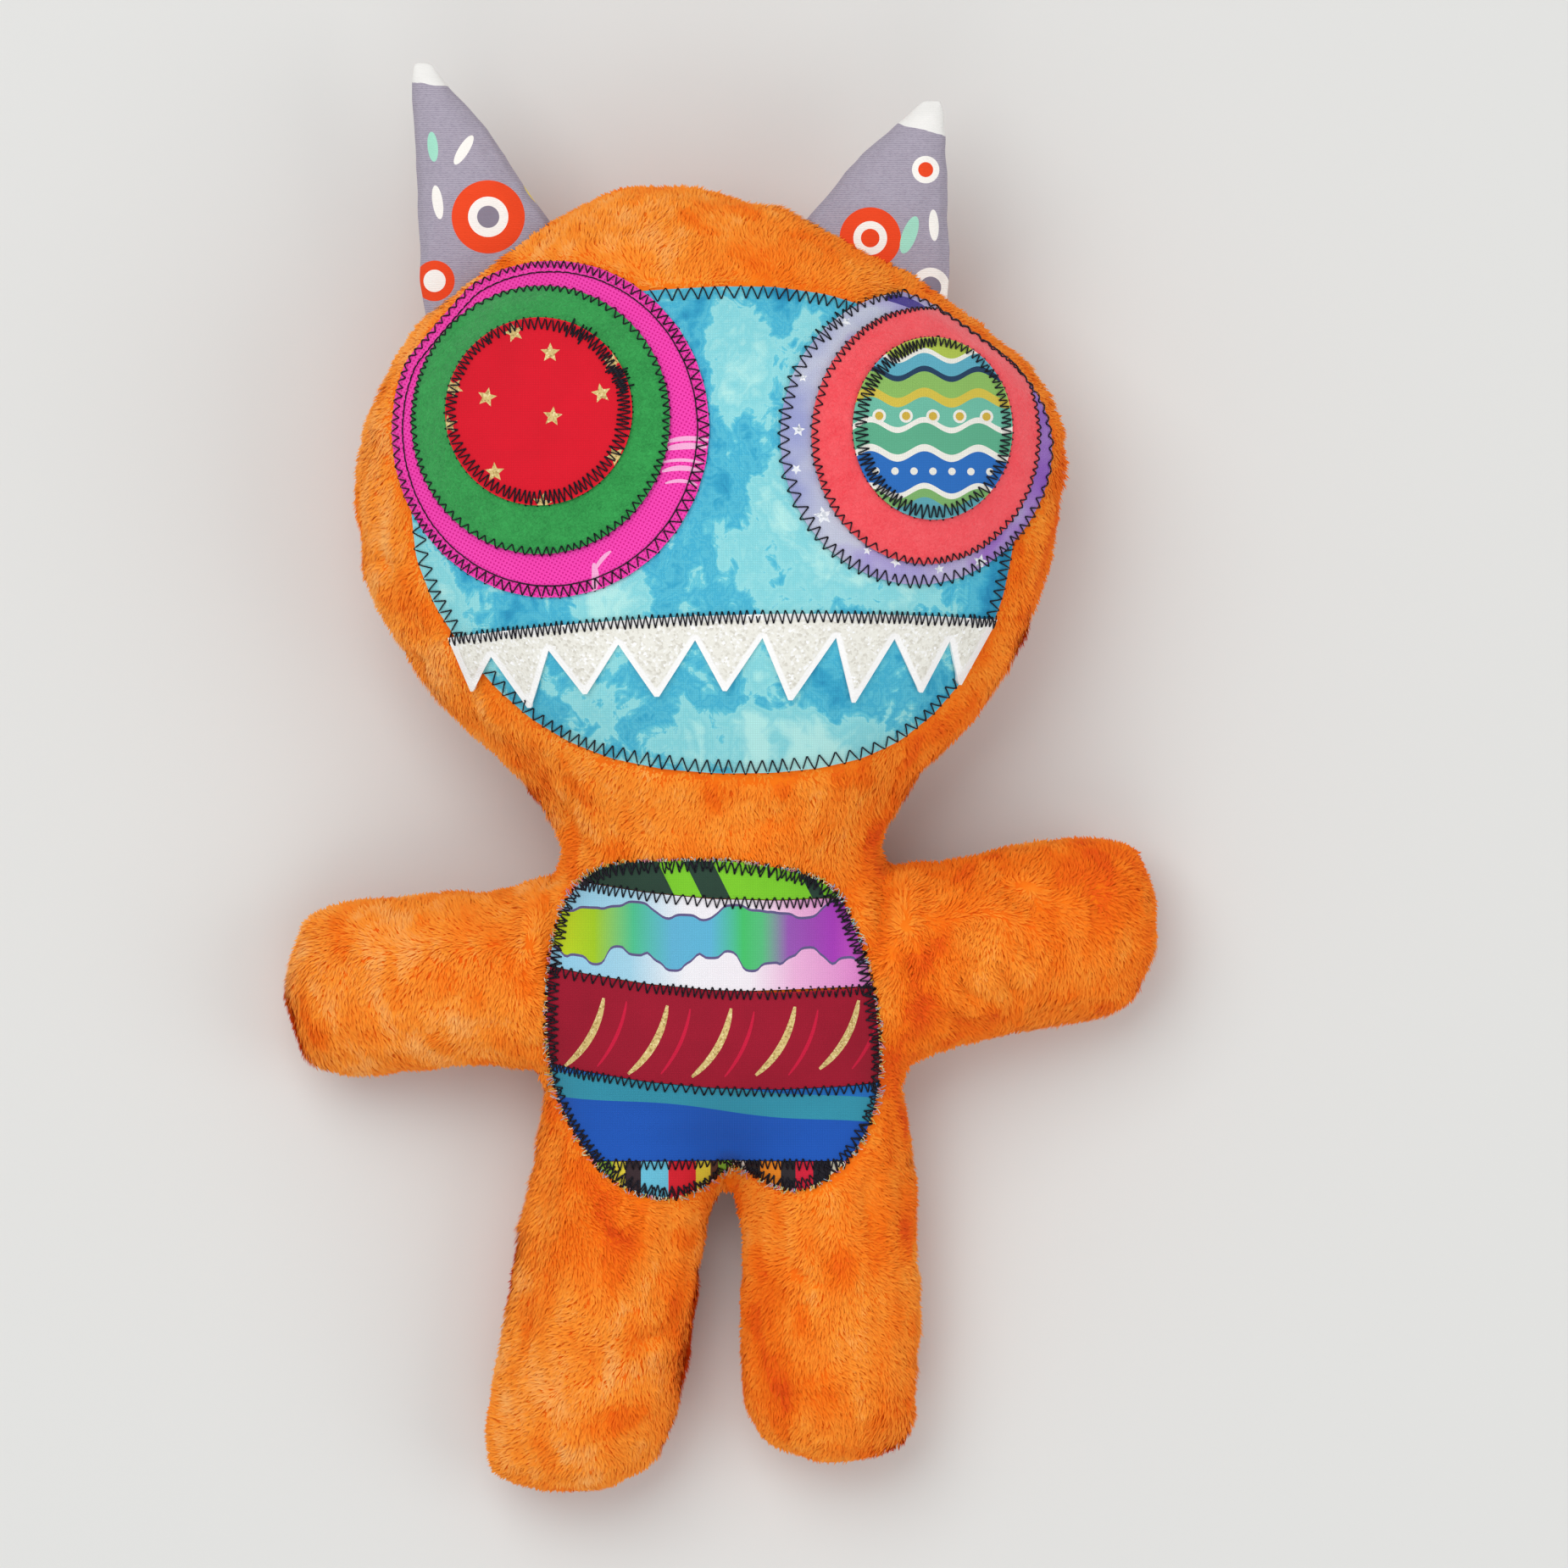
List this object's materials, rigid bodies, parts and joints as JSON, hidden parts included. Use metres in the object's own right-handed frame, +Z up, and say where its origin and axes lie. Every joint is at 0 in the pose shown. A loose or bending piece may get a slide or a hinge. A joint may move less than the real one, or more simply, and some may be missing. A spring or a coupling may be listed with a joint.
{
  "type": "monster plush doll",
  "caption": "Soft plush monster doll lying on its back: large round head, pointed ears, mismatched stacked disc eyes, toothed felt mouth, stubby arms and legs and a pieced belly patch.",
  "frame": {"origin": "centre of the doll's box on the surface that it lies on", "axes": "+Y from the feet towards the ears, +Z up out of the face, +X to the viewer's right when looking down at the face with the ears at the top"},
  "size_m": [0.265, 0.4394, 0.1085],
  "materials": {
    "orange_plush": "short plush pile",
    "white_fibre": "loose fibre filling",
    "grey_print": "printed cotton twill",
    "blue_batik": "batik cotton",
    "white_sheet": "glitter felt",
    "pink_cotton": "dotted cotton",
    "green_felt": "wool felt",
    "red_cotton": "cotton printed with gold stars",
    "lavender_satin": "satin printed with silver stars",
    "coral_felt": "wool felt",
    "teal_cotton": "cotton printed with bands",
    "lime_cotton": "cotton printed in greens",
    "rainbow_cotton": "cotton with fields of shaded colour",
    "crimson_cotton": "cotton printed with gold strokes",
    "blue_cotton": "cotton",
    "striped_cotton": "striped cotton"
  },
  "bodies": {
    "root": {"body_front_panel": "orange_plush", "body_back_panel": "orange_plush", "body_stuffing": "white_fibre", "ear_left_front_panel": "grey_print", "ear_left_back_panel": "grey_print", "ear_left_stuffing": "white_fibre", "ear_right_front_panel": "grey_print", "ear_right_back_panel": "grey_print", "ear_right_stuffing": "white_fibre", "face_patch": "blue_batik", "tooth_strip": "white_sheet", "eye_left_outer_disc": "pink_cotton", "eye_left_middle_disc": "green_felt", "eye_left_pupil": "red_cotton", "eye_right_outer_disc": "lavender_satin", "eye_right_middle_disc": "coral_felt", "eye_right_pupil": "teal_cotton", "belly_strip_1": "lime_cotton", "belly_strip_2": "rainbow_cotton", "belly_strip_3": "crimson_cotton", "belly_strip_4": "blue_cotton", "belly_strip_5": "striped_cotton"}
  },
  "joints": []
}
